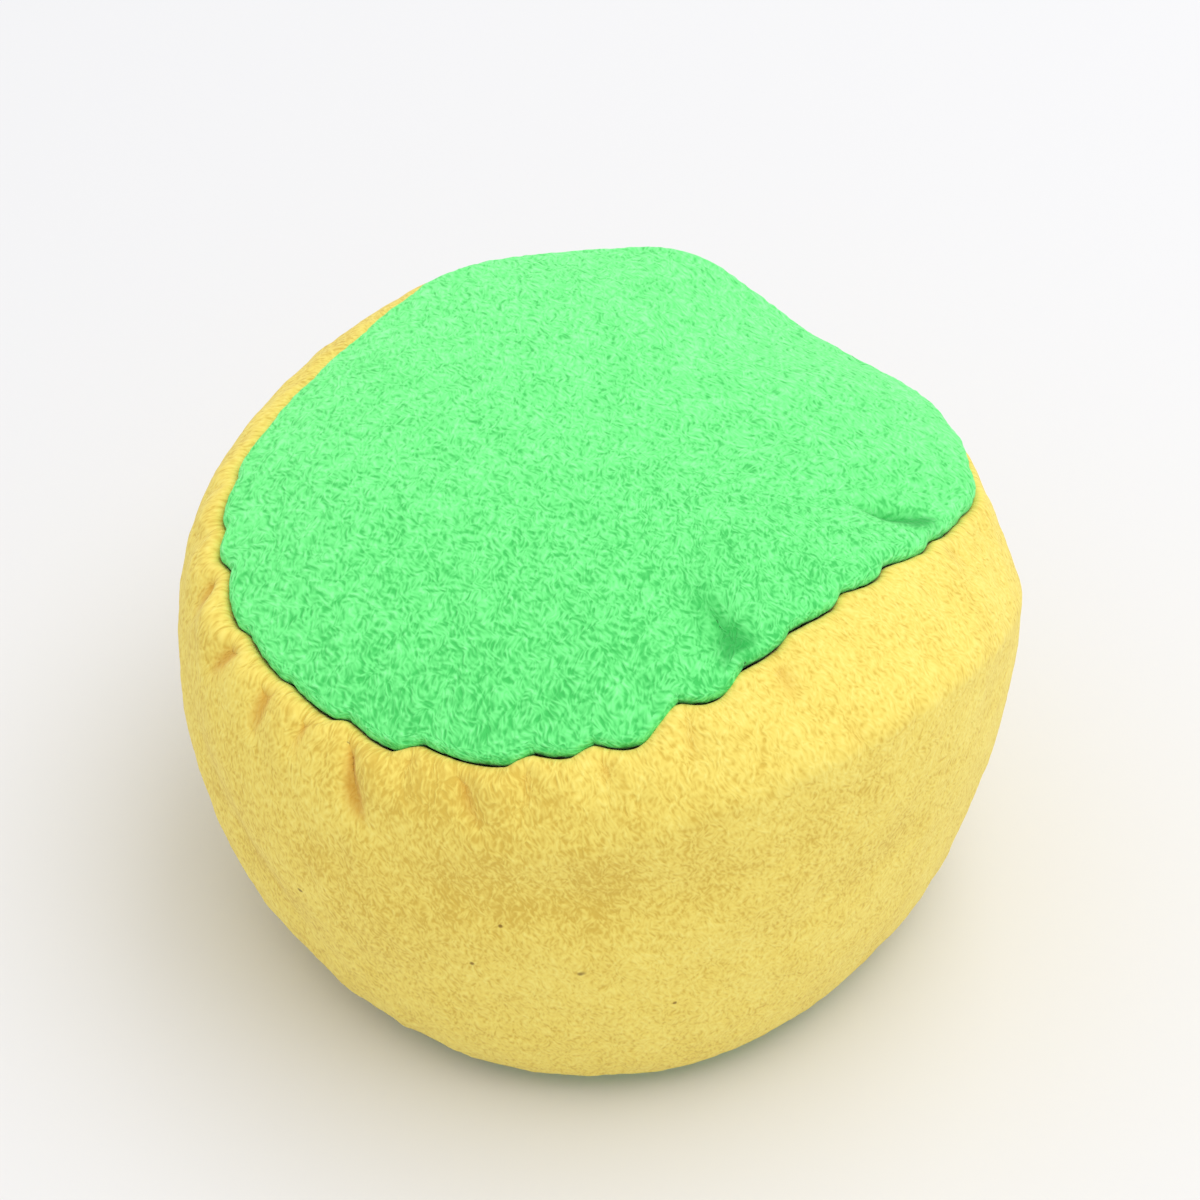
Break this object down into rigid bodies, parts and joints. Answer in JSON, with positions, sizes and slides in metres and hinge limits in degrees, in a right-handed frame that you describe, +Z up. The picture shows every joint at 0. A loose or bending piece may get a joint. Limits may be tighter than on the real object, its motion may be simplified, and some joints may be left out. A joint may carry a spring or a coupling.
{
  "type": "footbag",
  "caption": "Round soft footbag: napped fabric end panels and a side band, sewn with turned seams round a fill of plastic pellets, resting on its flat base.",
  "frame": {"origin": "centre of the flat resting face under the bag", "axes": "+Z up from the ground through the top panel, -Y towards the side that the picture shows, +X to that side's right"},
  "size_m": [0.0558, 0.0566, 0.0373],
  "materials": {
    "green_nap": "napped synthetic suede, matte",
    "yellow_nap": "napped synthetic suede, matte",
    "sewing_thread": "twisted polyester sewing thread",
    "pellet_plastic": "whitish translucent pellets"
  },
  "bodies": {
    "root": {"top_panel": "green_nap", "side_band": "yellow_nap", "bottom_panel": "green_nap", "pellet_fill": "pellet_plastic", "top_seam_thread": "sewing_thread", "bottom_seam_thread": "sewing_thread", "side_seam_thread": "sewing_thread", "pellet_01": "pellet_plastic", "pellet_02": "pellet_plastic", "pellet_03": "pellet_plastic", "pellet_04": "pellet_plastic", "pellet_05": "pellet_plastic", "pellet_06": "pellet_plastic", "pellet_07": "pellet_plastic", "pellet_08": "pellet_plastic", "pellet_09": "pellet_plastic", "pellet_10": "pellet_plastic", "pellet_11": "pellet_plastic", "pellet_12": "pellet_plastic", "pellet_13": "pellet_plastic", "pellet_14": "pellet_plastic", "pellet_15": "pellet_plastic", "pellet_16": "pellet_plastic", "pellet_17": "pellet_plastic", "pellet_18": "pellet_plastic", "pellet_19": "pellet_plastic", "pellet_20": "pellet_plastic", "pellet_21": "pellet_plastic", "pellet_22": "pellet_plastic", "pellet_23": "pellet_plastic", "pellet_24": "pellet_plastic", "pellet_25": "pellet_plastic", "pellet_26": "pellet_plastic", "pellet_27": "pellet_plastic", "pellet_28": "pellet_plastic", "pellet_29": "pellet_plastic", "pellet_30": "pellet_plastic", "pellet_31": "pellet_plastic", "pellet_32": "pellet_plastic"}
  },
  "joints": []
}
